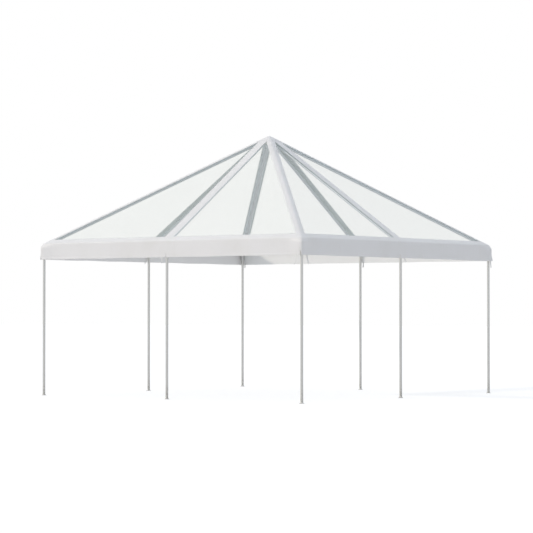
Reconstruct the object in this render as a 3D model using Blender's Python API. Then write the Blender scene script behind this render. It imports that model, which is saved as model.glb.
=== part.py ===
# Frame marquee, 20 ft by 20 ft: eight tube legs, eave rails and rafters that plug into sleeved
# fittings, and a pyramid cover of white vinyl with eight clear triangular panels and a valance.
# Metres, +Z up, origin on the ground under the peak. The front of the tent looks towards -Y.
import math

import bmesh
import bpy
from mathutils import Matrix, Vector

for old in list(bpy.data.objects):
    bpy.data.objects.remove(old, do_unlink=True)

# Frame
LEG_HALF_SPACING = 3.048       # leg centres are 20 ft apart
EAVE_AXIS_Z = 2.823            # where a leg, two rails and a rafter meet
PEAK_AXIS_Z = 4.918            # where the eight rafter axes meet
TUBE_RADIUS = 0.0254           # 2 in tube
TUBE_WALL = 0.0025
SLEEVE_RADIUS = 0.0302         # outside of a fitting's sleeve
SIDES = 20                     # flat sides of every round piece
SMOOTH_UNDER = 35              # degrees; sharper edges stay sharp in the shading
GAP = 0.0003                   # clearance between pieces that touch
OVERCUT = 0.01                 # how far a cutter runs past the face it opens

# Fittings: distance from the meeting point to a tube's end, and to the sleeve's mouth
CORNER_TUBE_START = 0.066
CORNER_SLEEVE_END = 0.160
SIDE_TUBE_START = 0.036
SIDE_SLEEVE_END = 0.130
CROWN_TUBE_START = 0.086
CROWN_SLEEVE_END = 0.190
CROWN_HUB_RADIUS = 0.056
CROWN_HUB_DEPTH = 0.085
DOME_STEPS = 4
BALL_RADIUS = SLEEVE_RADIUS * 0.995   # the round heart of an eave fitting, just inside its sleeves
BALL_STEPS = 8

# Feet
FOOT_RADIUS = 0.048
FOOT_THICKNESS = 0.006
FOOT_COLLAR_RADIUS = 0.034
FOOT_COLLAR_TOP = 0.028
FOOT_WELD = 0.002              # rise of the weld over the foot plate

# Cover
SHEET = 0.003                  # thickness of the vinyl as modelled
COVER_OFFSET = 0.0625          # outer face above the rafter axes, square to the slope
VALANCE_BOTTOM_Z = 2.573
EAVE_BEND_RADIUS = 0.035
EAVE_BEND_STEPS = 5
PEAK_BEND_RADIUS = 0.100
PEAK_BEND_STEPS = 4
BORDER = 0.104                 # white strip above the eave, measured in plan
HIP_BAND_HALF = 0.088          # white on each side of a hip
MID_BAND_HALF = 0.095          # white on each side of a middle rafter
WELD_OVERLAP = 0.025           # how far a clear sheet runs under the white
CUT_LOW_Z = 2.0                # cutters for the cover stand between these heights
CUT_HIGH_Z = 6.0

SLOPE = (PEAK_AXIS_Z - EAVE_AXIS_Z) / LEG_HALF_SPACING
PITCH = math.atan(SLOPE)
COVER_HALF = LEG_HALF_SPACING + SLEEVE_RADIUS + GAP + SHEET
COVER_APEX_Z = PEAK_AXIS_Z + COVER_OFFSET / math.cos(PITCH)
BAND_IN_PLAN = HIP_BAND_HALF / math.sin(math.atan(1 / math.cos(PITCH)))
EAVE_BEND = (COVER_HALF - EAVE_BEND_RADIUS,
             COVER_APEX_Z - SLOPE * (COVER_HALF - EAVE_BEND_RADIUS)
             - EAVE_BEND_RADIUS / math.cos(PITCH))
PEAK_BEND = (0.0, COVER_APEX_Z - PEAK_BEND_RADIUS / math.cos(PITCH))
MITRE = GAP / math.sqrt(2)     # setback of a mitred end, so that neighbours stay GAP apart

CORNERS = {"front_left": (-1, -1), "front_right": (1, -1), "back_right": (1, 1), "back_left": (-1, 1)}
MIDDLES = {"front": (0, -1), "right": (1, 0), "back": (0, 1), "left": (-1, 0)}
QUARTER_TURNS = {"front": 0, "right": 1, "back": 2, "left": 3}


def make_material(name, colour, roughness, metallic=0.0, alpha=1.0):
    material = bpy.data.materials.new(name)
    material.use_nodes = True
    shader = material.node_tree.nodes["Principled BSDF"]
    shader.inputs["Base Color"].default_value = (*colour, 1.0)
    shader.inputs["Roughness"].default_value = roughness
    shader.inputs["Metallic"].default_value = metallic
    shader.inputs["Alpha"].default_value = alpha
    return material


TUBE_METAL = make_material("tube_metal", (0.50, 0.50, 0.51), 0.35, 1.0)
FITTING_METAL = make_material("fitting_metal", (0.42, 0.43, 0.44), 0.45, 1.0)
WHITE_VINYL = make_material("white_vinyl", (0.86, 0.86, 0.87), 0.45)
CLEAR_VINYL = make_material("clear_vinyl", (0.85, 0.88, 0.87), 0.08, 0.0, 0.35)


def add_object(name, mesh, material, place=Matrix.Identity(4)):
    obj = bpy.data.objects.new(name, mesh)
    if not mesh.materials:
        mesh.materials.append(material)
    obj.matrix_world = place
    bpy.context.scene.collection.objects.link(obj)
    return obj


def mesh_from(name, points, faces):
    """A mesh from points and faces, with its normals turned outwards."""
    mesh = bpy.data.meshes.new(name)
    mesh.from_pydata([tuple(p) for p in points], [], faces)
    work = bmesh.new()
    work.from_mesh(mesh)
    bmesh.ops.recalc_face_normals(work, faces=work.faces)
    work.to_mesh(mesh)
    work.free()
    return mesh


def turned(name, profile):
    """A closed solid turned about Z from (radius, z) points; a radius of 0 is a pole."""
    points, rings = [], []
    for radius, z in profile:
        count = SIDES if radius > 0 else 1
        rings.append(list(range(len(points), len(points) + count)))
        for i in range(count):
            angle = 2 * math.pi * (i + 0.5) / SIDES
            points.append((radius * math.cos(angle), radius * math.sin(angle), z))
    closes = profile[0][0] > 0
    faces = []
    for here, there in zip(rings, rings[1:] + (rings[:1] if closes else [])):
        for i in range(SIDES):
            j = (i + 1) % SIDES
            low = [here[i % len(here)], here[j % len(here)]]
            high = [there[j % len(there)], there[i % len(there)]]
            faces.append(list(dict.fromkeys(low + high)))
    mesh = mesh_from(name, points, faces)
    mesh.shade_smooth()
    mesh.set_sharp_from_angle(angle=math.radians(SMOOTH_UNDER))
    return mesh


def along(start, end):
    """The placement that takes the Z axis to the line from start to end."""
    start, end = Vector(start), Vector(end)
    return Matrix.Translation(start) @ (end - start).to_track_quat("Z", "Y").to_matrix().to_4x4()


def joined(name, base, others, operation):
    """The mesh of base after a Boolean with each of the others, all given as (mesh, placement)."""
    start = add_object(name + "_start", base[0], FITTING_METAL, base[1])
    cutters = []
    for number, (mesh, place) in enumerate(others):
        cutter = add_object(f"{name}_other_{number}", mesh, FITTING_METAL, place)
        cutters.append(cutter)
        modifier = start.modifiers.new(f"other_{number}", "BOOLEAN")
        modifier.operation = operation
        modifier.solver = "EXACT"
        modifier.object = cutter
    bpy.context.view_layer.update()
    graph = bpy.context.evaluated_depsgraph_get()
    result = bpy.data.meshes.new_from_object(start.evaluated_get(graph))
    result.name = name
    for helper in [start, *cutters]:
        bpy.data.objects.remove(helper, do_unlink=True)
    return result


def directions_at(x, y):
    """Unit vectors of the rails and the rafter that leave the eave point above (x, y)."""
    rafter = Vector((-x, -y, PEAK_AXIS_Z - EAVE_AXIS_Z)).normalized()
    if x and y:
        rails = [Vector((-x, 0, 0)).normalized(), Vector((0, -y, 0)).normalized()]
    else:
        rails = [Vector((y, x, 0)).normalized(), Vector((-y, -x, 0)).normalized()]
    return rails, rafter


def fitting_mesh(name, directions, tube_start, sleeve_end, hub):
    """Sleeves that leave a hub along the directions, each bored for a tube. Its centre is at 0."""
    sleeve = turned(name + "_sleeve", [(0, 0), (SLEEVE_RADIUS, 0), (SLEEVE_RADIUS, sleeve_end),
                                       (0, sleeve_end)])
    bore_radius = (TUBE_RADIUS + GAP) / math.cos(math.pi / SIDES)
    bore = turned(name + "_bore", [(0, tube_start - GAP), (bore_radius, tube_start - GAP),
                                   (bore_radius, sleeve_end + OVERCUT), (0, sleeve_end + OVERCUT)])
    places = [along((0, 0, 0), direction) for direction in directions]
    still = Matrix.Identity(4)
    solid = joined(name + "_solid", (hub, still), [(sleeve, place) for place in places], "UNION")
    return joined(name, (solid, still), [(bore, place) for place in places], "DIFFERENCE")


def ball(name):
    profile = [(0, -BALL_RADIUS)]
    for i in range(1, BALL_STEPS):
        angle = math.pi * i / BALL_STEPS
        profile.append((BALL_RADIUS * math.sin(angle), -BALL_RADIUS * math.cos(angle)))
    return turned(name, profile + [(0, BALL_RADIUS)])


def make_leg(name, x, y, top_inset):
    """An upright tube with a round foot and a flared collar welded to its lower end."""
    bore = TUBE_RADIUS - TUBE_WALL
    top = EAVE_AXIS_Z - top_inset
    weld = FOOT_THICKNESS + FOOT_WELD
    profile = [(0, 0), (FOOT_RADIUS, 0), (FOOT_RADIUS, FOOT_THICKNESS), (FOOT_COLLAR_RADIUS, weld),
               (TUBE_RADIUS, FOOT_COLLAR_TOP), (TUBE_RADIUS, top), (bore, top), (bore, weld), (0, weld)]
    add_object(name, turned(name, profile), TUBE_METAL, Matrix.Translation((x, y, 0)))


def make_tube(name, start, end, start_inset, end_inset):
    """A hollow tube on the line from start to end, set back at both ends into its fittings."""
    start, end = Vector(start), Vector(end)
    length = (end - start).length
    bore = TUBE_RADIUS - TUBE_WALL
    profile = [(TUBE_RADIUS, start_inset), (TUBE_RADIUS, length - end_inset),
               (bore, length - end_inset), (bore, start_inset)]
    add_object(name, turned(name, profile), TUBE_METAL, along(start, end))


def make_frame():
    h = LEG_HALF_SPACING
    down = Vector((0, 0, -1))
    peak = Vector((0, 0, PEAK_AXIS_Z))
    for key, (sx, sy) in CORNERS.items():
        eave = Vector((sx * h, sy * h, EAVE_AXIS_Z))
        rails, rafter = directions_at(sx * h, sy * h)
        mesh = fitting_mesh("corner_fitting_" + key, [down, *rails, rafter], CORNER_TUBE_START,
                            CORNER_SLEEVE_END, ball("corner_hub_" + key))
        add_object("corner_fitting_" + key, mesh, FITTING_METAL, Matrix.Translation(eave))
        make_leg("leg_" + key, sx * h, sy * h, CORNER_TUBE_START)
        make_tube("hip_rafter_" + key, eave, peak, CORNER_TUBE_START, CROWN_TUBE_START)
    for key, (sx, sy) in MIDDLES.items():
        eave = Vector((sx * h, sy * h, EAVE_AXIS_Z))
        rails, rafter = directions_at(sx * h, sy * h)
        mesh = fitting_mesh("side_fitting_" + key, [down, *rails, rafter], SIDE_TUBE_START,
                            SIDE_SLEEVE_END, ball("side_hub_" + key))
        add_object("side_fitting_" + key, mesh, FITTING_METAL, Matrix.Translation(eave))
        make_leg("leg_middle_" + key, sx * h, sy * h, SIDE_TUBE_START)
        make_tube("middle_rafter_" + key, eave, peak, SIDE_TUBE_START, CROWN_TUBE_START)
        for corner, (cx, cy) in CORNERS.items():
            if (sx and cx == sx) or (sy and cy == sy):
                other = corner.replace(key, "").strip("_")
                make_tube(f"eave_rail_{key}_{other}", (cx * h, cy * h, EAVE_AXIS_Z), eave,
                          CORNER_TUBE_START, SIDE_TUBE_START)


def make_crown():
    """The hub at the peak: eight sleeves and a domed cap that the cover rests on."""
    dome = PEAK_BEND_RADIUS - SHEET - GAP
    centre = PEAK_BEND[1] - PEAK_AXIS_Z
    profile = [(0, -CROWN_HUB_DEPTH), (CROWN_HUB_RADIUS, -CROWN_HUB_DEPTH)]
    widest = math.asin(CROWN_HUB_RADIUS / dome)
    for i in range(DOME_STEPS):
        angle = widest * (1 - i / DOME_STEPS)
        profile.append((dome * math.sin(angle), centre + dome * math.cos(angle)))
    hub = turned("crown_hub", profile + [(0, centre + dome)])
    points = [*CORNERS.values(), *MIDDLES.values()]
    drop = PEAK_AXIS_Z - EAVE_AXIS_Z
    rays = [Vector((x * LEG_HALF_SPACING, y * LEG_HALF_SPACING, -drop)).normalized() for x, y in points]
    mesh = fitting_mesh("crown", rays, CROWN_TUBE_START, CROWN_SLEEVE_END, hub)
    add_object("crown", mesh, FITTING_METAL, Matrix.Translation((0, 0, PEAK_AXIS_Z)))


def cover_z(distance, depth=0.0):
    """Height of the flat slope at a distance from the centre, depth below its outer face."""
    return COVER_APEX_Z - SLOPE * distance - depth / math.cos(PITCH)


def level(z):
    """A height that is the same everywhere, for prism."""
    return lambda x, y: z


def prism(name, outline, low, high):
    """A solid over a plan outline; low and high give the heights at (x, y)."""
    count = len(outline)
    points = [(x, y, low(x, y)) for x, y in outline] + [(x, y, high(x, y)) for x, y in outline]
    faces = [list(range(count)), list(range(count, 2 * count))]
    faces += [[i, (i + 1) % count, (i + 1) % count + count, i + count] for i in range(count)]
    return mesh_from(name, points, faces)


def bend_points(centre, radius, first, last, steps):
    """Points (distance, z) on an arc about centre, at angles from the horizontal."""
    angles = [first + (last - first) * i / steps for i in range(steps + 1)]
    return [(centre[0] + radius * math.cos(a), centre[1] + radius * math.sin(a)) for a in angles]


def slope_mesh():
    """The front slope: a bent strip, mitred along both hips, with its two windows cut out."""
    flat = math.pi / 2 - PITCH
    skins = []
    for depth in (0, SHEET):
        eave = bend_points(EAVE_BEND, EAVE_BEND_RADIUS - depth, 0, flat, EAVE_BEND_STEPS)
        peak = bend_points(PEAK_BEND, PEAK_BEND_RADIUS - depth, flat, math.pi / 2, PEAK_BEND_STEPS)
        skins.append(eave + peak)
    ring = skins[0] + skins[1][::-1]
    reach = COVER_HALF + OVERCUT
    count = len(ring)
    points = [(-reach, -d, z) for d, z in ring] + [(reach, -d, z) for d, z in ring]
    faces = [[i, (i + 1) % count, (i + 1) % count + count, i + count] for i in range(count)]
    strip = mesh_from("slope_strip", points, faces + [list(range(count)), list(range(count, 2 * count))])
    wedge = prism("slope_wedge", [(0, -MITRE), (-reach, -reach - MITRE), (reach, -reach - MITRE)],
                  level(CUT_LOW_Z), level(CUT_HIGH_Z))
    still = Matrix.Identity(4)
    mitred = joined("slope_mitred", (strip, still), [(wedge, still)], "INTERSECT")
    windows = []
    eave = COVER_HALF - BORDER
    for side in (-1, 1):
        outline = [(side * MID_BAND_HALF, -eave), (side * (eave - BAND_IN_PLAN), -eave),
                   (side * MID_BAND_HALF, -(MID_BAND_HALF + BAND_IN_PLAN))]
        windows.append((prism("window", outline, level(CUT_LOW_Z), level(CUT_HIGH_Z)), still))
    return joined("slope", (mitred, still), windows, "DIFFERENCE")


def valance_mesh():
    """The front valance: an upright strip from the eave bend down to the hem, with mitred ends."""
    inner = COVER_HALF - SHEET
    outline = [(-COVER_HALF + MITRE, -COVER_HALF), (COVER_HALF - MITRE, -COVER_HALF),
               (inner - MITRE, -inner), (-inner + MITRE, -inner)]
    return prism("valance", outline, level(VALANCE_BOTTOM_Z), level(EAVE_BEND[1] - GAP))


def clear_mesh():
    """The front's clear sheet, welded under the white all round its two windows."""
    low = COVER_HALF - BORDER + WELD_OVERLAP
    high = MID_BAND_HALF + BAND_IN_PLAN - WELD_OVERLAP
    edge = BAND_IN_PLAN - WELD_OVERLAP * math.sqrt(2)
    outline = [(-(low - edge), -low), (low - edge, -low), (high - edge, -high), (-(high - edge), -high)]
    return prism("clear_sheet", outline, lambda x, y: cover_z(-y, 2 * SHEET + GAP),
                 lambda x, y: cover_z(-y, SHEET + GAP))


def make_cover():
    pieces = {"roof": (slope_mesh(), WHITE_VINYL), "valance": (valance_mesh(), WHITE_VINYL),
              "clear_sheet": (clear_mesh(), CLEAR_VINYL)}
    for key, turns in QUARTER_TURNS.items():
        place = Matrix.Rotation(turns * math.pi / 2, 4, "Z")
        for piece, (mesh, material) in pieces.items():
            mesh.materials.clear()
            add_object(f"{piece}_{key}", mesh, material, place)


make_frame()
make_crown()
make_cover()
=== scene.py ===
import math

import bmesh
import bpy
import numpy as np
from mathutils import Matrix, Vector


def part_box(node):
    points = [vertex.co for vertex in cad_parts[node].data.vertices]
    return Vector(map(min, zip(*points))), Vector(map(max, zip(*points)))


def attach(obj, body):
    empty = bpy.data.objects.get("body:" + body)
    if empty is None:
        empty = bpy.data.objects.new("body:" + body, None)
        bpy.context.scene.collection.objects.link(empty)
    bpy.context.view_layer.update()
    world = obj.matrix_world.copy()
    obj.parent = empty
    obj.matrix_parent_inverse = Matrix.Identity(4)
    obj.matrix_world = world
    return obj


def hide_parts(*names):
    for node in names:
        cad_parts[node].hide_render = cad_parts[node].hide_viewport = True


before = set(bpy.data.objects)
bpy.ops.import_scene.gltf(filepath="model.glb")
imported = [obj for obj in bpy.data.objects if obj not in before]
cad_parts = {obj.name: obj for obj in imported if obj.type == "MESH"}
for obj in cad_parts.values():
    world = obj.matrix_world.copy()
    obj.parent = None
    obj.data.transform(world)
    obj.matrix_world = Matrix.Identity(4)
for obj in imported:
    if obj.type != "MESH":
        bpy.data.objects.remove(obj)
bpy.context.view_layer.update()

# The looks of a 20 ft frame marquee: white vinyl skirt, bands and cap, clear film, tube frame.
# Lengths are in metres and turns in degrees. The front of the tent looks towards -Y.

# Camera, at the photograph's place and angle
cameraSet = {"place": (25.8526, -33.7090, 1.6154), "turn": 37.555, "tilt": 1.1308,
             "lens": 149.09, "sensor": 36.0, "near": 0.5, "far": 600.0}


def makeCamera():
    data = bpy.data.cameras.new("camera")
    data.lens = cameraSet["lens"]
    data.sensor_width = cameraSet["sensor"]
    data.clip_start = cameraSet["near"]
    data.clip_end = cameraSet["far"]
    camera = bpy.data.objects.new("camera", data)
    camera.location = cameraSet["place"]
    camera.rotation_euler = (math.radians(90 + cameraSet["tilt"]), 0, math.radians(cameraSet["turn"]))
    bpy.context.scene.collection.objects.link(camera)
    bpy.context.scene.camera = camera


# Sizes read from the frame
plate = 0.003                                        # thickness of the CAD cover
plateGap = 0.0003                                    # the CAD film lies this far under it
filmLow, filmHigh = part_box("clear_sheet_front")
railLow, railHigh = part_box("eave_rail_front_left")
legLow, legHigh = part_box("leg_front_right")

coverHalf = -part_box("roof_front")[0].y               # outer face of the valance
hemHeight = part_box("valance_front")[0].z
legHalf = (legLow.x + legHigh.x) / 2                 # leg axis
tubeRadius = (railHigh.z - railLow.z) / 2
eaveAxis = (railHigh.z + railLow.z) / 2
filmFar, filmNear = -filmLow.y, -filmHigh.y          # distances of the film's lower and upper edges
steep = (filmHigh.z - filmLow.z) / (filmFar - filmNear)
slope = (filmHigh.z - filmLow.z - plate * math.hypot(1, steep)) / (filmFar - filmNear)
pitch = math.atan(slope)
apex = filmHigh.z + slope * filmNear + (plate + plateGap) / math.cos(pitch)   # where flat slopes would meet
peakAxis = eaveAxis + slope * legHalf

sideTurns = {"front": 0, "right": 1, "back": 2, "left": 3}
cornerTurns = {"front_right": 0, "back_right": 1, "back_left": 2, "front_left": 3}
cornerSigns = {"front_left": (-1, -1), "front_right": (1, -1), "back_right": (1, 1), "back_left": (-1, 1)}
middleSigns = {"front": (0, -1), "right": (1, 0), "back": (0, 1), "left": (-1, 0)}


# Grids, meshes and pieces

def gridPatch(points, around=False, closed=False):
    # a grid of points as (points, four-sided faces, flat coordinates in metres along both directions)
    full = points
    rows, columns = points.shape[:2]
    index = np.arange(rows * columns).reshape(rows, columns)
    if around:
        index = np.concatenate([index, index[:, :1]], axis=1)
        full = np.concatenate([full, full[:, :1]], axis=1)
    if closed:
        index = np.concatenate([index, index[:1]], axis=0)
        full = np.concatenate([full, full[:1]], axis=0)
    across = np.linalg.norm(np.diff(full, axis=1), axis=2).cumsum(axis=1)
    across = np.concatenate([np.zeros((len(full), 1)), across], axis=1)
    across = across - across[:, -1:] / 2
    along = np.linalg.norm(np.diff(full, axis=0), axis=2).mean(axis=1).cumsum()
    along = np.repeat(np.concatenate([[0.0], along])[:, None], full.shape[1], axis=1)
    flat = np.stack([across, along], axis=-1)
    corner = lambda grid: np.stack([grid[:-1, :-1], grid[:-1, 1:], grid[1:, 1:], grid[1:, :-1]], axis=2)
    faces = corner(index).reshape(-1, 4)
    return points.reshape(-1, 3), faces, corner(flat).reshape(-1, 4, 2)


def joinPatches(patches):
    starts = np.cumsum([0] + [len(p[0]) for p in patches[:-1]])
    return (np.concatenate([p[0] for p in patches]),
            np.concatenate([p[1] + start for p, start in zip(patches, starts)]),
            np.concatenate([p[2] for p in patches]))


def quarterTurn(points, turns):
    # turns the points about the upright axis by that many right angles
    cosine, sine = [(1, 0), (0, 1), (-1, 0), (0, -1)][turns % 4]
    x, y, z = points[..., 0], points[..., 1], points[..., 2]
    return np.stack([cosine * x - sine * y, sine * x + cosine * y, z], axis=-1)


def turnedGrid(profile, start, end, sides=40):
    # a surface of revolution: each (radius, distance) of the profile is a ring round the line
    # from start to end, at that distance along it
    start, end = np.array(start, float), np.array(end, float)
    axis = (end - start) / np.linalg.norm(end - start)
    side = np.cross(axis, [0, 0, 1.0]) if abs(axis[2]) < 0.9 else np.cross(axis, [0, 1.0, 0])
    side = side / np.linalg.norm(side)
    other = np.cross(axis, side)
    radius, distance = np.array(profile, float).T
    angle = np.linspace(0, 2 * math.pi, sides, endpoint=False)
    ring = np.cos(angle)[:, None] * side + np.sin(angle)[:, None] * other
    return start + distance[:, None, None] * axis + radius[:, None, None] * ring


def wall(radius, distances):
    # profile points at one radius
    return np.column_stack([np.full(len(distances), radius), distances])


def placeMesh(name, mesh, material, merge, sharp):
    # merges doubled points, smooths the faces between sharp edges and puts the mesh into the scene
    work = bmesh.new()
    work.from_mesh(mesh)
    bmesh.ops.remove_doubles(work, verts=work.verts, dist=merge)
    work.to_mesh(mesh)
    work.free()
    mesh.shade_smooth()
    mesh.set_sharp_from_angle(angle=math.radians(sharp))
    mesh.materials.clear()
    mesh.materials.append(material)
    piece = bpy.data.objects.new(name, mesh)
    bpy.context.scene.collection.objects.link(piece)
    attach(piece, "root")
    return piece


def makePiece(name, patches, material, outward=None, sharp=40):
    # faces are turned round if they look against outward, or inwards where none is given
    points, faces, flat = joinPatches(patches)
    a, b, c, d = (points[faces[:, i]] for i in range(4))
    normals = np.cross(c - a, d - b)
    facing = (normals * np.array(outward)).sum() if outward is not None else (normals * a).sum()
    if facing < 0:
        faces, flat = faces[:, ::-1], flat[:, ::-1]
    mesh = bpy.data.meshes.new(name)
    mesh.from_pydata(points.tolist(), [], faces.tolist())
    layer = mesh.uv_layers.new(name="cut")
    layer.data.foreach_set("uv", flat.reshape(-1).astype(np.float32))
    return placeMesh(name, mesh, material, 1e-6, sharp)


def thicken(piece, thickness, lining=None):
    # gives a sheet its thickness, inwards from the modelled face; a lining is its inner face's material
    solid = piece.modifiers.new("thickness", "SOLIDIFY")
    solid.thickness = thickness
    solid.offset = -1
    solid.use_even_offset = True
    if lining:
        piece.data.materials.append(lining)
        solid.material_offset = 1


# Shader sums

class Wire:
    # a shader socket that can be used in sums
    def __init__(self, tree, socket=None):
        self.tree = tree
        self.socket = socket

    def node(self, kind, settings=None, values=None, out=0):
        made = self.tree.nodes.new("ShaderNode" + kind)
        for key, value in (settings or {}).items():
            setattr(made, key, value)
        for key, value in (values or {}).items():
            if isinstance(value, Wire):
                self.tree.links.new(value.socket, made.inputs[key])
            else:
                made.inputs[key].default_value = value
        return Wire(self.tree, made.outputs[out])

    def math(self, operation, first, second=0.0):
        return self.node("Math", {"operation": operation}, {0: first, 1: second})

    def __add__(self, other):
        return self.math("ADD", self, other)

    def __sub__(self, other):
        return self.math("SUBTRACT", self, other)

    def __rsub__(self, other):
        return self.math("SUBTRACT", other, self)

    def __mul__(self, other):
        return self.math("MULTIPLY", self, other)

    def __abs__(self):
        return self.math("ABSOLUTE", self)

    __radd__ = __add__
    __rmul__ = __mul__

    def sine(self):
        return self.math("SINE", self)

    def between(self, low, high):
        # 0 below low, 1 above high, and smooth between them
        return self.node("MapRange", {"interpolation_type": "SMOOTHSTEP"},
                         {"Value": self, "From Min": low, "From Max": high})

    def blend(self, first, second):
        # from the first colour at 0 to the second at 1
        return self.node("Mix", {"data_type": "RGBA"}, {0: self, 6: (*first, 1), 7: (*second, 1)}, 2)

    def blendOver(self, under, colour):
        # from a colour that already varies at 0 to a plain one at 1
        return self.node("Mix", {"data_type": "RGBA"}, {0: self, 6: under, 7: (*colour, 1)}, 2)

    def noise(self, scale, detail=4.0, rough=0.55):
        return self.node("TexNoise", {},
                         {"Vector": self, "Scale": scale, "Detail": detail, "Roughness": rough})

    def stretched(self, scale):
        return self.node("Mapping", {}, {"Vector": self, "Scale": scale})

    def parts(self):
        # x, y and z of a vector
        outputs = self.node("SeparateXYZ", {}, {0: self}).socket.node.outputs
        return [Wire(self.tree, output) for output in outputs]

    def bump(self, height, strength, distance):
        return self.node("Bump", {}, {"Strength": strength, "Distance": distance, "Height": height})


def newMaterial(name, **fixed):
    # a material, its Object coordinates, the flat coordinates (across, along) of a piece,
    # and a function that feeds its Principled shader; underlines stand for the spaces in socket names
    material = bpy.data.materials.new(name)
    material.use_nodes = True
    tree = material.node_tree
    shader = tree.nodes["Principled BSDF"]
    for socket, value in fixed.items():
        shader.inputs[socket.replace("_", " ")].default_value = value
    wire = Wire(tree)
    place = wire.node("TexCoord", {}, {}, "Object")
    flat = wire.node("UVMap", {"uv_map": "cut"}).parts()[:2]

    def feed(**sockets):
        for socket, value in sockets.items():
            tree.links.new(value.socket, shader.inputs[socket.replace("_", " ")])
    return material, place, flat, feed


# White vinyl

vinyl = {"clean": (0.775, 0.772, 0.775), "soiled": (0.725, 0.720, 0.708),            # outer face
         "inside": (0.900, 0.900, 0.893), "innerLeftShade": (0.856, 0.848, 0.845),       # skirt's inner face, lighter than the outer face as painted light through the vinyl, the left one greyer as painted shade
         "under": (0.855, 0.890, 0.925),                                             # bands' inner face, lighter as painted light through the vinyl and bluer as painted sky shade
         "rough": 0.50, "yarn": 0.0016, "seam": 0.025, "thick": 0.0008, "glow": 0.0005,
         "soil": 1.3, "drips": (7.0, 7.0, 0.9), "creases": 2.2, "bump": 0.004}


def whiteVinyl(name, half, clean=vinyl["clean"], soiled=vinyl["soiled"]):
    # coated cloth: faint scrim under the coating, welded margins along the edges, soft soiling
    material, place, (across, along), feed = newMaterial(
        name, IOR=1.46, Subsurface_Weight=1.0, Subsurface_Radius=(1, 1, 1), Subsurface_Scale=vinyl["glow"])
    soil = place.noise(vinyl["soil"], 6.0, 0.6).between(0.42, 0.78)
    drips = place.stretched(vinyl["drips"]).noise(1.0).between(0.5, 0.8)
    seam = half - vinyl["seam"]
    margin = abs(across).between(seam - 0.002, seam + 0.001)
    step = margin * (1 - abs(across).between(seam + 0.001, seam + 0.004))
    pull = 2 * math.pi / vinyl["yarn"]
    scrim = (across * pull).sine() * (along * pull).sine()
    creases = place.noise(vinyl["creases"], 3.0, 0.4)
    feed(Base_Color=(soil * 0.55 + drips * 0.25).blend(clean, soiled),
         Roughness=vinyl["rough"] + soil * 0.10 - margin * 0.07 + scrim * 0.02,
         Normal=place.bump(scrim * 0.01 + step * 0.12 + creases * 0.9, 0.5, vinyl["bump"]))
    return material


# Roof surface: a square pyramid whose hips and peak are rounded

roof = {"hipRound": 0.045, "peakRound": 0.027, "bend": 0.035,              # how round the folds are
        "border": 0.104,                                                   # skirt's width on the slope
        "hipHalf": 0.088, "middleHalf": 0.095, "cap": 0.19}                # half of each band and the cap
hipInPlan = roof["hipHalf"] / math.sin(math.atan(1 / math.cos(pitch)))     # the hip's, along the eave
borderLevel = coverHalf - roof["border"]                                   # where the windows end


def levelOf(x, y):
    # distance from the middle, as the larger of |x| and |y| with its corner rounded,
    # and rounded again at the peak
    a, b = np.abs(x), np.abs(y)
    corner = (a + b + np.sqrt((a - b) ** 2 + roof["hipRound"] ** 2)) / 2
    return np.sqrt(corner ** 2 + roof["peakRound"] ** 2)


def onRoof(x, y, lift):
    # the roof above (x, y), raised square to the slope by lift
    return np.stack([x, y, apex - slope * levelOf(x, y) + lift / math.cos(pitch) + 0 * x], axis=-1)


# Clear film

film = {"tint": (0.73, 0.79, 0.715), "drift": 1.06, "rough": 0.07,
        "alpha": 0.090, "haze": 0.016, "creases": 0.012, "weld": 0.045,    # clearness, and what each adds
        "weldWide": 0.020, "weldEdge": 0.002, "folds": 0.51,
        "lift": -0.0022, "thick": 0.0006, "sag": 0.011, "tuck": 0.025, "rows": 72, "columns": 96}


def clearFilm():
    # glossy film: colour drifts a little, faint fold creases, soft ripples, denser at its welds;
    # level is the larger of |x| and |y|, and aside the smaller
    material, place, flat, feed = newMaterial("clear_film", IOR=1.5)
    drift = place.noise(0.9, 3.0).between(0.3, 0.7)
    x, y = (abs(part) for part in place.parts()[:2])
    level = place.math("MAXIMUM", x, y)
    aside = place.math("MINIMUM", x, y)
    folds = abs((level * (math.pi / film["folds"])).sine()).between(0.0, 0.03)
    ripple = place.stretched((2.2, 2.2, 5.0)).noise(1.0, 3.0, 0.45)
    smear = place.noise(14.0, 5.0, 0.7).between(0.45, 0.8)
    fromMiddle = aside - roof["middleHalf"]
    fromHip = (level - hipInPlan - aside) * (roof["hipHalf"] / hipInPlan)
    fromBorder = (borderLevel - level) * (1 / math.cos(pitch))
    clear = [gap.between(film["weldWide"] - film["weldEdge"], film["weldWide"] + film["weldEdge"])
             for gap in (fromMiddle, fromHip, fromBorder)]
    weld = 1 - clear[0] * clear[1] * clear[2]
    wrinkle = place.stretched((3.0, 3.0, 9.0)).noise(1.0, 5.0, 0.6) - 0.5
    line = 1 - abs(wrinkle).between(0.0, 0.012)
    marks = (1 - folds) * 0.5 + line
    feed(Base_Color=drift.blend(film["tint"], tuple(film["drift"] * c for c in film["tint"])),
         Roughness=film["rough"] + smear * 0.10 + (1 - folds) * 0.06,
         Alpha=film["alpha"] + smear * film["haze"] + marks * film["creases"] + weld * film["weld"],
         Normal=place.bump(ripple + folds * 0.05 + line * 0.04 - weld * 0.03, 0.6, 0.006))
    return material


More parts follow.
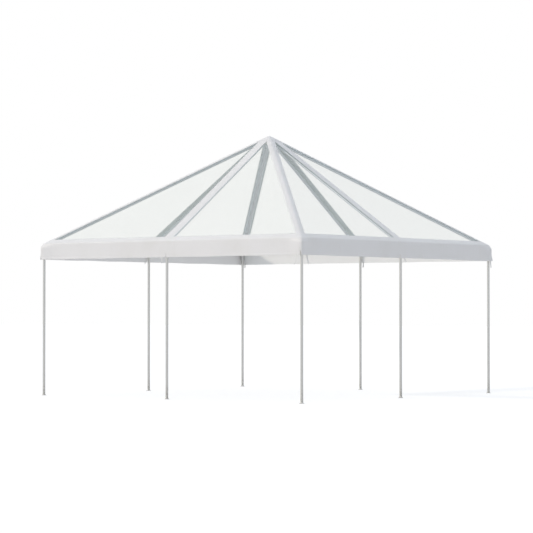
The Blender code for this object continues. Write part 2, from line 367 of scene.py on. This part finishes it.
def makeFilm(side, material):
    # rows run down the slope and columns across it; each window sinks by a product of two parabolas,
    # each 1 at its middle, over being the share of its width and down the share of its height
    margin = hipInPlan - film["tuck"] * math.sqrt(2)
    d = np.linspace(filmNear, filmFar, film["rows"])[:, None]
    x = np.linspace(-1, 1, film["columns"])[None, :] * (d - margin)
    tip = roof["middleHalf"] + hipInPlan
    wide = np.maximum(d - hipInPlan - roof["middleHalf"], 1e-6)
    over = np.clip((np.abs(x) - roof["middleHalf"]) / wide, 0, 1)
    down = np.clip((d - tip) / (borderLevel - tip), 0, 1)
    sag = film["sag"] * 16 * over * (1 - over) * down * (1 - down)
    points = onRoof(x, -d + 0 * x, film["lift"] - sag)
    patch = gridPatch(quarterTurn(points, sideTurns[side]))
    piece = makePiece("clear_film_" + side, [patch], material, (0, 0, 1))
    thicken(piece, film["thick"])
    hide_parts("clear_sheet_" + side)


# White bands over the rafters, and the cap

band = {"middleLift": 0.0, "hipLift": 0.0011, "capLift": 0.0022,           # above the roof surface
        "underCap": 0.08, "underSkirt": 0.035,                             # the middle bands' laps
        "hipStart": 0.07, "hipUnderSkirt": 0.012, "fold": 0.35,            # the hip bands' start, lap, fold
        "rows": 90, "columns": 17}
cap = {"hem": 0.0006, "hemWide": 0.022, "hemEdge": 0.002, "tip": 0.07, "tipRows": 14, "rows": 20,
       "around": 160, "cloth": 1.16}


def makeMiddleBand(side, material, lining):
    # a straight strip up the middle of a slope, from under the skirt to under the cap
    reach = borderLevel + band["underSkirt"]
    d = np.linspace(roof["cap"] - band["underCap"], reach, band["rows"])[:, None]
    x = np.linspace(-1, 1, band["columns"])[None, :] * roof["middleHalf"]
    points = onRoof(x + 0 * d, -d + 0 * x, band["middleLift"])
    patch = gridPatch(quarterTurn(points, sideTurns[side]))
    piece = makePiece("middle_band_" + side, [patch], material, (0, 0, 1))
    thicken(piece, vinyl["thick"], lining)
    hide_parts("roof_" + side)


def makeHipBand(corner, material, lining):
    # a strip folded over a hip: c runs down the hip and e across it, both in plan,
    # with e close-set at the fold, as share * (fold + (1 - fold) * |share|)
    half = hipInPlan / math.sqrt(2)
    c = np.linspace(band["hipStart"], borderLevel + band["hipUnderSkirt"], band["rows"])[:, None]
    share = np.linspace(-1, 1, 2 * band["columns"])[None, :]
    e = half * share * (band["fold"] + (1 - band["fold"]) * np.abs(share))
    points = onRoof(c + e / math.sqrt(2), -c + e / math.sqrt(2), band["hipLift"])
    patch = gridPatch(quarterTurn(points, cornerTurns[corner]))
    piece = makePiece("hip_band_" + corner, [patch], material, (0, 0, 1))
    thicken(piece, vinyl["thick"], lining)


def makeCap(material, lining):
    # rings of equal level round the peak: at angle t and level m the radius solves
    # (m - |x|) * (m - |y|) = w * w / 4, with w the hips' rounding
    w = roof["hipRound"]
    tip = w / 2 + np.linspace(0, 1, cap["tipRows"], endpoint=False) ** 2 * cap["tip"]
    m = np.concatenate([tip, np.linspace(w / 2 + cap["tip"], roof["cap"], cap["rows"])])[:, None]
    t = np.linspace(0, 2 * math.pi, cap["around"], endpoint=False)[None, :]
    a, b = np.abs(np.cos(t)), np.abs(np.sin(t))
    radius = 2 * (m ** 2 - w ** 2 / 4) / (m * (a + b) + np.sqrt((m * (a - b)) ** 2 + a * b * w ** 2))
    hem = cap["hem"] * np.clip((m - roof["cap"] + cap["hemWide"]) / cap["hemEdge"], 0, 1)
    points = onRoof(radius * np.cos(t), radius * np.sin(t), band["capLift"] + hem)
    piece = makePiece("peak_cap", [gridPatch(points, around=True)], material, (0, 0, 1))
    thicken(piece, vinyl["thick"], lining)


# Skirt: the border, the bend over the eave and the valance in one strip a side.
# A corner's key is its side and the sign of its half, with + to the right as seen from outside.

skirt = {"lift": 0.0022, "hem": 0.028, "hemStep": 0.0003, "hemEdge": 0.001,
         "billow": 0.004, "wave": 0.0035, "waves": (7.6, 17.0), "second": 0.45,      # slack of the valance
         "phase": 1.7, "secondPhase": 2.1, "hemWave": 0.003, "hemWaves": 5.2,
         "cornerRound": 0.030, "bulge": 0.026, "bulgeReach": 0.34, "bulgeHigh": 0.032, "bulgeLow": 0.060,
         "borderRows": 10, "bendRows": 12, "dropRows": 18, "hemRows": 4,
         "edge": (0, 0.0006, 0.002, 0.006), "start": 0.015, "columns": 44, "end": 0.1, "endColumns": 24}
slits = {"seam": 0.00015, "least": 0.001, "curve": 0.8,                              # half a closed gap
         "middle": 0.013, "middleHigh": 0.090, "shift": {"right": -0.060},           # at the middles
         "corner": 0.011, "cornerHigh": 0.100,                                       # at the corners
         "wrap": 0.038, "wrapLeft": -0.014, "wrapRight": 0.046, "wrapHigh": 0.135,   # beside the near fold
         "pulled": {("front", -1): 0.030, ("left", 1): 0.0, ("right", -1): 0.0, ("right", 1): 0.004,
                    ("back", -1): 0.004}}
kick = {"usual": 0.003, "wide": 0.16, "high": 0.14, "curve": 1.5,          # hem corners that stand out
        "own": {("left", 1): 0.008, ("right", 1): 0.028, ("back", -1): 0.020, ("front", 1): 0.0,
                ("right", -1): 0.0}}


def smooth(share):
    # 0 to 1 with level ends: 3 s squared - 2 s cubed
    return share ** 2 * (3 - 2 * share)


def skirtProfile():
    # (level, height, share of the way down the valance, share of the bend that is passed):
    # straight down the border, a circle round the bend, straight down to the hem
    rise = skirt["lift"] / math.cos(pitch)
    bendCentre = coverHalf - roof["bend"]
    bendHigh = apex - slope * bendCentre - roof["bend"] / math.cos(pitch)
    radius = roof["bend"] + skirt["lift"]
    start = bendCentre + roof["bend"] * math.sin(pitch)
    border = np.linspace(borderLevel, start, skirt["borderRows"], endpoint=False)
    turn = np.linspace(math.pi / 2 - pitch, 0, skirt["bendRows"])
    hemTop, edge = hemHeight + skirt["hem"], skirt["hemEdge"]
    drop = np.concatenate([np.linspace(bendHigh, hemTop + edge, skirt["dropRows"])[1:], [hemTop],
                           np.linspace(hemTop - edge, hemHeight + edge, skirt["hemRows"]), [hemHeight]])
    level = np.concatenate([border, bendCentre + radius * np.cos(turn),
                            np.full(len(drop), coverHalf + skirt["lift"])])
    height = np.concatenate([apex - slope * border + rise, bendHigh + radius * np.sin(turn), drop])
    level = level + skirt["hemStep"] * (height <= hemTop)
    share = np.clip((bendHigh - height) / (bendHigh - hemHeight), 0, 1)
    passed = (bendHigh + skirt["bulgeHigh"] - height) / (skirt["bulgeHigh"] + skirt["bulgeLow"])
    return level, height, share, smooth(np.clip(passed, 0, 1))


def makeFlap(side, sign, first, last):
    # the profile carried along y = -(m - w * w / 4 / (m - |x|)), the rounded square at level m,
    # which bulges near its corner; first and last are (distance of the edge from the middle, or None
    # at the corner; how far the edge opens; over what height)
    level, height, share, fold = (v[:, None] for v in skirtProfile())
    w = roof["hipRound"] + (skirt["cornerRound"] - roof["hipRound"]) * fold
    q = np.concatenate([skirt["edge"],
                        np.linspace(skirt["start"], 1 - skirt["end"], skirt["columns"], endpoint=False),
                        1 - skirt["end"] * (1 - np.linspace(0, 1, skirt["endColumns"])) ** 2])[None, :]
    fromHem = height - hemHeight
    mitre = level + skirt["bulge"] * fold - w / 2
    begin = np.minimum(first[0], mitre - slits["least"]) + slits["seam"]
    begin = begin + first[1] * np.clip(1 - fromHem / first[2], 0, 1)
    final = mitre if last[0] is None else np.minimum(last[0], mitre - slits["least"]) - slits["seam"]
    final = final - last[1] * np.clip(1 - fromHem / last[2], 0, 1) ** slits["curve"]
    x = begin + q * (final - begin)
    near = np.clip(1 - (coverHalf - x) / skirt["bulgeReach"], 0, 1)
    level = level + skirt["bulge"] * fold * smooth(near)
    gap = np.maximum(level - x, w / 2)
    free = share * 4 * np.clip(x / coverHalf, 0, 1) * np.clip(1 - x / coverHalf, 0, 1)
    phase = skirt["phase"] * sideTurns[side]
    longWave, shortWave = skirt["waves"]
    ripple = np.sin(longWave * x * sign + phase)
    ripple = ripple + skirt["second"] * np.sin(shortWave * x * sign + skirt["secondPhase"] * phase)
    out = free * (skirt["billow"] + skirt["wave"] * ripple)
    kicked = kick["own"].get((side, sign), kick["usual"])
    out = out + (kicked * np.clip(1 - (coverHalf - x) / kick["wide"], 0, 1) ** 2
                 * np.clip(1 - fromHem / kick["high"], 0, 1) ** kick["curve"])
    y = -(level - w ** 2 / (4 * gap)) - out
    z = height + skirt["hemWave"] * share * free * np.sin(skirt["hemWaves"] * x * sign + phase)
    points = np.stack([sign * x, y, z + 0 * x], axis=-1)
    return gridPatch(quarterTurn(points if sign > 0 else points[:, ::-1], sideTurns[side]))


def makeSkirt(side, material, lining):
    # two flaps with a slit between them; the near corner's seam lies on the front, beside the fold
    patches = []
    for sign in (-1, 1):
        middle = (sign * slits["shift"].get(side, 0.0), slits["middle"], slits["middleHigh"])
        corner = (None, slits["pulled"].get((side, sign), slits["corner"]), slits["cornerHigh"])
        if (side, sign) == ("front", 1):
            seam = coverHalf - slits["wrap"]
            left = (seam, slits["wrapLeft"], slits["wrapHigh"])
            right = (seam, slits["wrapRight"], slits["wrapHigh"])
            patches.append(makeFlap(side, sign, middle, left))
            patches.append(makeFlap(side, sign, right, (None, 0.0, 1.0)))
        else:
            patches.append(makeFlap(side, sign, middle, corner))
    outward = quarterTurn(np.array([0.0, -1.0, 0.6]), sideTurns[side])
    piece = makePiece("eave_skirt_" + side, patches, material, outward)
    thicken(piece, vinyl["thick"], lining)
    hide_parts("valance_" + side)
    level, height = skirtProfile()[:2]


# Webbing ties that hang from the hem

tie = {"colour": (0.80, 0.80, 0.79), "shade": (0.70, 0.70, 0.68), "yarn": 0.0021,
       "wide": 0.027, "thick": 0.0014, "rows": 30, "columns": 7,
       "twist": 0.5, "slant": 0.15, "bow": 0.004, "sway": 0.003, "curve": 1.6, "waves": (9, 7, 6)}
ties = {
    "front_middle": {"skirt": "front", "turn": 12,
                     "top": (-0.072, -3.074, 2.640), "run": (-0.034, -0.006, -0.172)},
    "front_corner": {"skirt": "front", "turn": -15,
                     "top": (2.984, -3.098, 2.634), "run": (-0.050, -0.012, -0.226)},
    "right_corner": {"skirt": "right", "turn": 70,
                     "top": (3.080, -2.944, 2.610), "run": (0.006, 0.050, -0.196)},
    "back_right_corner": {"skirt": "right", "turn": 60,
                          "top": (3.104, 3.040, 2.610), "run": (0.006, 0.004, -0.172)},
    "right_middle": {"skirt": "right", "turn": 72,
                     "top": (3.079, 0.070, 2.612), "run": (0.004, 0.070, -0.110)},
    "left_middle": {"skirt": "left", "turn": 85,
                    "top": (-3.079, -0.070, 2.600), "run": (-0.004, -0.012, -0.064)},
    "back_left_corner": {"skirt": "back", "turn": -12,
                         "top": (-3.000, 3.079, 2.600), "run": (-0.014, -0.004, -0.088)},
    "back_middle": {"skirt": "back", "turn": -15,
                    "top": (0.056, 3.079, 2.600), "run": (-0.010, -0.004, -0.118)}}


def webbing():
    # narrow woven strap: ribs across it, bound edges, a little grey in the weave
    material, place, (across, along), feed = newMaterial("white_webbing", Roughness=0.75, IOR=1.45)
    pull = math.pi / tie["yarn"]
    ribs = (along * (2 * pull)).sine() * 0.5 + (across * pull).sine() * 0.5
    edge = abs(across).between(tie["wide"] * 0.42, tie["wide"] * 0.47)
    grey = place.noise(60.0, 3.0).between(0.4, 0.8)
    feed(Base_Color=(grey * 0.5 + edge * 0.3).blend(tie["colour"], tie["shade"]),
         Normal=place.bump(ribs + edge, 0.6, 0.0006))
    return material


def makeTie(name, facts, material):
    # a strip across which e runs, and down which s runs from 0 to 1: its middle line goes from top by
    # s of the run, sideways by s to the power of curve, with small sines, while its width turns about z
    s = np.linspace(0, 1, tie["rows"])[:, None]
    e = np.linspace(-0.5, 0.5, tie["columns"])[None, :] * tie["wide"]
    top, run = np.array(facts["top"]), np.array(facts["run"])
    angle = math.radians(facts["turn"]) + tie["twist"] * s ** 2
    aside = s ** tie["curve"]
    x = top[0] + run[0] * aside + np.cos(angle) * e + tie["sway"] * np.sin(tie["waves"][0] * s)
    y = top[1] + run[1] * aside + np.sin(angle) * e - tie["sway"] * np.sin(tie["waves"][1] * s)
    z = top[2] + run[2] * s + tie["bow"] * np.sin(tie["waves"][2] * s) + tie["slant"] * e * s
    piece = makePiece("tie_" + name, [gridPatch(np.stack([x, y, z], axis=-1))], material, (0.6, -0.8, 0))
    thicken(piece, tie["thick"])


# Tubes

tube = {"colour": (0.750, 0.742, 0.708), "streak": (0.640, 0.632, 0.604),            # legs and rails
        "paintedLight": (0.790, 0.820, 0.845), "paintedLightStreak": (0.690, 0.720, 0.750),      # rafters: a lighter, bluer copy of the legs' metal as painted sky light
        "paintedShade": (0.660, 0.695, 0.725), "paintedShadeStreak": (0.560, 0.595, 0.630),          # the hips named next: a darker copy, as painted shade
        "paintedShadeHips": ("front_left", "back_left"), "dirt": (0.24, 0.22, 0.19), "dirtHigh": 0.35,
        "rough": 0.34, "wall": 0.0025, "ease": 0.0006, "inset": 0.01, "rows": 12}
foot = {"radius": 0.048, "thick": 0.006, "collar": 0.034, "collarTop": 0.028, "weld": 0.003, "ease": 0.0008,
        "sunk": 0.002, "inset": 0.02, "rows": 14, "boreRows": 10, "weldRows": 6, "flareRows": 10}


def tubeMetal(name, colour, streak):
    # drawn aluminium: streaks along the tube, scuffs, a little dirt near the ground
    material, place, flat, feed = newMaterial(name, Metallic=1.0)
    lines = place.stretched((55.0, 55.0, 2.0)).noise(4.0, 3.0)
    scuffs = place.noise(26.0, 6.0, 0.7).between(0.55, 0.75)
    high = place.parts()[2]
    dirt = (1 - high.between(0.0, tube["dirtHigh"])) * place.noise(40.0, 5.0).between(0.3, 0.7)
    tone = (lines * 0.6 + scuffs * 0.4).blend(colour, streak)
    feed(Base_Color=(dirt * 0.6).blendOver(tone, tube["dirt"]),
         Roughness=tube["rough"] + scuffs * 0.12 + dirt * 0.3 + (lines - 0.5) * 0.08,
         Metallic=1 - dirt * 0.7,
         Normal=place.bump(lines + scuffs * 0.5, 0.25, 0.0004))
    return material


def makeTube(node, start, end, startInset, endInset, material):
    # a hollow tube whose ends have a small round-over: out along one face and back along the bore
    length = float(np.linalg.norm(np.array(end) - np.array(start)))
    outer, bore, ease = tubeRadius, tubeRadius - tube["wall"], tube["ease"]
    first, last = startInset, length - endInset
    steps = np.linspace(first + tube["inset"], last - tube["inset"], tube["rows"])
    profile = np.concatenate([
        [(bore, first + ease), (bore + ease, first), (outer - ease, first), (outer, first + ease)],
        wall(outer, steps),
        [(outer, last - ease), (outer - ease, last), (bore + ease, last), (bore, last - ease)],
        wall(bore, steps[::-1])])
    patch = gridPatch(turnedGrid(profile, start, end), around=True, closed=True)
    piece = makePiece(node + "_tube", [patch], material)
    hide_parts(node)


def makeLeg(node, x, y, top, material):
    # foot plate, hollow of the weld, collar that flares as (1 - s) squared, and the tube, turned in one
    outer, bore, ease = tubeRadius, tubeRadius - tube["wall"], foot["ease"]
    r, t, c, w = foot["radius"], foot["thick"], foot["collar"], foot["weld"]
    swell = np.sin(np.linspace(0, math.pi / 2, foot["weldRows"]))
    s = np.linspace(0.05, 1, foot["flareRows"])
    profile = np.concatenate([
        [(0, 0), (r - ease, 0), (r, ease), (r, t - ease), (r - ease, t)],
        np.column_stack([c + w - w * swell, t + w * swell]),
        np.column_stack([outer + (c - outer) * (1 - s) ** 2, t + w + (foot["collarTop"] - t - w) * s]),
        wall(outer, np.linspace(foot["collarTop"] + foot["inset"], top - foot["inset"], foot["rows"])),
        [(outer, top - ease), (outer - ease, top), (bore + ease, top), (bore, top - ease)],
        wall(bore, np.linspace(top - foot["inset"], t + foot["inset"], foot["boreRows"])),
        [(bore, t + foot["sunk"]), (0, t + foot["sunk"])]])
    patch = gridPatch(turnedGrid(profile, (x, y, 0), (x, y, 1)), around=True)
    piece = makePiece(node + "_tube", [patch], material)
    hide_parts(node)


# Fittings and their bolts; a mouth is how far a sleeve reaches from the middle of its fitting

fitting = {"colour": (0.84, 0.84, 0.83), "grain": 90.0, "sharp": 32, "merge": 1e-5, "capGap": 0.0012,
           "cornerTube": 0.066, "cornerMouth": 0.160, "sideTube": 0.036, "sideMouth": 0.130,
           "crownTube": 0.086, "crownMouth": 0.190, "sleeve": 0.0302}
bolt = {"colour": (0.60, 0.60, 0.58), "grain": 500.0, "fromMouth": 0.034, "sunk": 0.0006,
        "washer": 0.0115, "washerThick": 0.0022, "washerEase": 0.0004, "washerSides": 24,
        "head": 0.0095, "headHigh": 0.0062, "headSunk": 0.0002, "headSides": 6,
        "shank": 0.0048, "end": 0.0085, "shankSides": 16, "ease": 0.001}


def zincMetal(name, colour, grain):
    # zinc plating, dulled by its oxide: spangles of slightly different grey
    material, place, flat, feed = newMaterial(name, Metallic=0.8)
    spangle = place.node("TexVoronoi", {"feature": "F1"}, {"Vector": place, "Scale": grain}, "Color")
    grey = place.node("RGBToBW", {}, {0: spangle})
    wear = place.noise(30.0, 5.0, 0.65).between(0.5, 0.75)
    feed(Base_Color=(grey * 0.35 + wear * 0.3).blend(colour, tuple(0.7 * c for c in colour)),
         Roughness=0.38 + grey * 0.12 + wear * 0.1,
         Normal=place.bump(grey + wear, 0.2, 0.0005))
    return material


def makeFitting(node, material):
    # the CAD fitting, smooth round its sleeves; none of it rises above the cap's inner face
    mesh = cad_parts[node].data.copy()
    mesh.name = node + "_cast"
    points = np.empty(len(mesh.vertices) * 3)
    mesh.vertices.foreach_get("co", points)
    x, y, z = points.reshape(-1, 3).T
    ceiling = onRoof(x, y, band["capLift"] - vinyl["thick"] - fitting["capGap"])[:, 2]
    mesh.vertices.foreach_set("co", np.stack([x, y, np.minimum(z, ceiling)], axis=-1).reshape(-1))
    piece = placeMesh(node + "_cast", mesh, material, fitting["merge"], fitting["sharp"])
    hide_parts(node)


def disc(radius, low, high, ease):
    # profile of a disc whose upper edge is eased
    return [(0, low), (radius, low), (radius, high - ease), (radius - ease, high), (0, high)]


def makeBolts(node, centre, ends, mouth, material):
    # one bolt square through each sleeve, upright in a rail and level in the rest:
    # a washer and a hexagon on both of its ends, and the shank's end on one
    thick, high = bolt["washerThick"], bolt["washerThick"] + bolt["headHigh"]
    washer = disc(bolt["washer"], 0, thick, bolt["washerEase"])
    head = disc(bolt["head"], thick - bolt["headSunk"], high, bolt["ease"])
    shank = disc(bolt["shank"], high - bolt["ease"], thick + bolt["end"], bolt["ease"])
    forms = [(washer, bolt["washerSides"]), (head, bolt["headSides"]), (shank, bolt["shankSides"])]
    patches = []
    for end in ends:
        along = np.array(end, float) - np.array(centre)
        along = along / np.linalg.norm(along)
        if abs(along[2]) > 0.9:                      # a leg, bolted along the eave's tangent
            across = np.array([-centre[1], centre[0], 0.0])
        elif abs(along[2]) < 0.01:                   # a rail
            across = np.array([0, 0, 1.0])
        else:                                        # a rafter
            across = np.cross(along, [0, 0, 1.0])
        across = across / np.linalg.norm(across)
        middle = np.array(centre) + along * (mouth - bolt["fromMouth"])
        for sign, shown in ((1, forms[:2]), (-1, forms)):
            seat = middle + sign * across * (fitting["sleeve"] - bolt["sunk"])
            for profile, sides in shown:
                patches.append(gridPatch(turnedGrid(profile, seat, seat + sign * across, sides), around=True))
    piece = makePiece("bolts_" + node, patches, material, sharp=30)


# Stage and light

studio = {"ambient": (0.760, 0.792, 0.840), "sunColour": (1.0, 0.90, 0.78), "sunPower": 1.35,
          "sunTurn": 49.5, "sunHeight": 21.3, "sunSoft": 3.0,
          "floor": 0.62, "floorHalf": 150.0, "glow": 0.44}


def makeStage():
    # a pale floor, which looks white to the camera
    mesh = bpy.data.meshes.new("floor")
    half = studio["floorHalf"]
    corners = [(-half, -half, 0), (half, -half, 0), (half, half, 0), (-half, half, 0)]
    mesh.from_pydata(corners, [], [(0, 1, 2, 3)])
    floor = bpy.data.objects.new("floor", mesh)
    bpy.context.scene.collection.objects.link(floor)
    material, place, flat, feed = newMaterial("pale_floor", Roughness=0.9, Emission_Strength=1.0)
    seen = place.node("LightPath", {}, {}, "Is Camera Ray")
    shade = studio["floor"]
    feed(Base_Color=place.noise(0.8, 3.0).blend((shade,) * 3, (shade * 1.02,) * 3),
         Emission_Color=seen.blend((0, 0, 0), (studio["glow"],) * 3))
    mesh.materials.append(material)


def makeLight():
    # an even sky, white where the camera sees it, and a low soft sun
    world = bpy.data.worlds.new("studio")
    world.use_nodes = True
    bpy.context.scene.world = world
    wire = Wire(world.node_tree)
    seen = wire.node("Background", {}, {"Color": (1, 1, 1, 1), "Strength": 1.0})
    light = wire.node("Background", {}, {"Color": (*studio["ambient"], 1), "Strength": 1.0})
    which = wire.node("LightPath", {}, {}, "Is Camera Ray")
    mixed = wire.node("MixShader", {}, {0: which, 1: light, 2: seen})
    world.node_tree.links.new(mixed.socket, world.node_tree.nodes["World Output"].inputs[0])
    lamp = bpy.data.lights.new("sun", "SUN")
    lamp.energy = studio["sunPower"]
    lamp.color = studio["sunColour"]
    lamp.angle = math.radians(studio["sunSoft"])
    sun = bpy.data.objects.new("sun", lamp)
    sun.rotation_euler = (math.radians(90 - studio["sunHeight"]), 0, math.radians(-studio["sunTurn"]))
    bpy.context.scene.collection.objects.link(sun)
    bpy.context.scene.view_settings.view_transform = "Standard"


# Making

makeCamera()
makeLight()
makeStage()
print("camera, light and floor made")

filmMaterial = clearFilm()
middleVinyl = whiteVinyl("band_vinyl_middle", roof["middleHalf"])
hipVinyl = whiteVinyl("band_vinyl_hip", roof["hipHalf"])
sideVinyl = whiteVinyl("skirt_vinyl", coverHalf)
# the skirt's inner face is lighter than its outer face, as painted light through the vinyl
lining = whiteVinyl("skirt_inner_face", coverHalf, vinyl["inside"], vinyl["inside"])
# the left skirt's inner face is a greyer copy, as painted shade
shadedLeftLining = whiteVinyl("skirt_inner_face_left_painted_shade", coverHalf, vinyl["innerLeftShade"], vinyl["innerLeftShade"])
# the bands' inner face is lighter and bluer, as painted light through the vinyl and painted sky shade
paintedLightUnderside = whiteVinyl("band_inner_face_painted_light", coverHalf, vinyl["under"], vinyl["under"])
for side in sideTurns:
    makeFilm(side, filmMaterial)
    makeMiddleBand(side, middleVinyl, paintedLightUnderside)
    makeSkirt(side, sideVinyl, shadedLeftLining if side == "left" else lining)
for corner in cornerTurns:
    makeHipBand(corner, hipVinyl, paintedLightUnderside)
makeCap(sideVinyl, paintedLightUnderside)
strap = webbing()
for name, facts in ties.items():
    makeTie(name, facts, strap)
print("cover made")

metal = tubeMetal("drawn_tube", tube["colour"], tube["streak"])
# the rafters get a lighter, bluer copy of the tube metal, as painted sky light
paintedLightMetal = tubeMetal("rafter_tube_painted_light", tube["paintedLight"], tube["paintedLightStreak"])
# two hips get a darker copy of the rafters' metal, as painted shade
paintedShadeMetal = tubeMetal("hip_tube_painted_shade", tube["paintedShade"], tube["paintedShadeStreak"])
zinc = zincMetal("zinc_fitting", fitting["colour"], fitting["grain"])
boltZinc = zincMetal("zinc_bolt", bolt["colour"], bolt["grain"])
peak = (0, 0, peakAxis)
eaves = []                                           # the axes of all fittings at the eave
for corner, (sx, sy) in cornerSigns.items():
    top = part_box("leg_" + corner)[1].z
    eave = (sx * legHalf, sy * legHalf, eaveAxis)
    eaves.append(eave)
    # the hips named in the table take the painted shade metal, the other rafters the painted light metal
    hipMetal = paintedShadeMetal if corner in tube["paintedShadeHips"] else paintedLightMetal
    makeLeg("leg_" + corner, eave[0], eave[1], top, metal)
    makeTube("hip_rafter_" + corner, eave, peak, eaveAxis - top, fitting["crownTube"], hipMetal)
    makeFitting("corner_fitting_" + corner, zinc)
    makeBolts("corner_" + corner, eave,
              [(eave[0], eave[1], 0), (0, eave[1], eaveAxis), (eave[0], 0, eaveAxis), peak],
              fitting["cornerMouth"], boltZinc)
for side, (sx, sy) in middleSigns.items():
    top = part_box("leg_middle_" + side)[1].z
    eave = (sx * legHalf, sy * legHalf, eaveAxis)
    eaves.append(eave)
    makeLeg("leg_middle_" + side, eave[0], eave[1], top, metal)
    makeTube("middle_rafter_" + side, eave, peak, eaveAxis - top, fitting["crownTube"], paintedLightMetal)
    makeFitting("side_fitting_" + side, zinc)
    makeBolts("side_" + side, eave,
              [(eave[0], eave[1], 0), (eave[0] + sy, eave[1] + sx, eaveAxis),
               (eave[0] - sy, eave[1] - sx, eaveAxis), peak],
              fitting["sideMouth"], boltZinc)
    for corner, (cx, cy) in cornerSigns.items():
        if (sx and cx == sx) or (sy and cy == sy):
            end = corner.replace(side, "").strip("_")
            makeTube(f"eave_rail_{side}_{end}", (cx * legHalf, cy * legHalf, eaveAxis), eave,
                     fitting["cornerTube"], fitting["sideTube"], metal)
makeFitting("crown", zinc)
makeBolts("crown", peak, eaves, fitting["crownMouth"], boltZinc)
print("frame made")
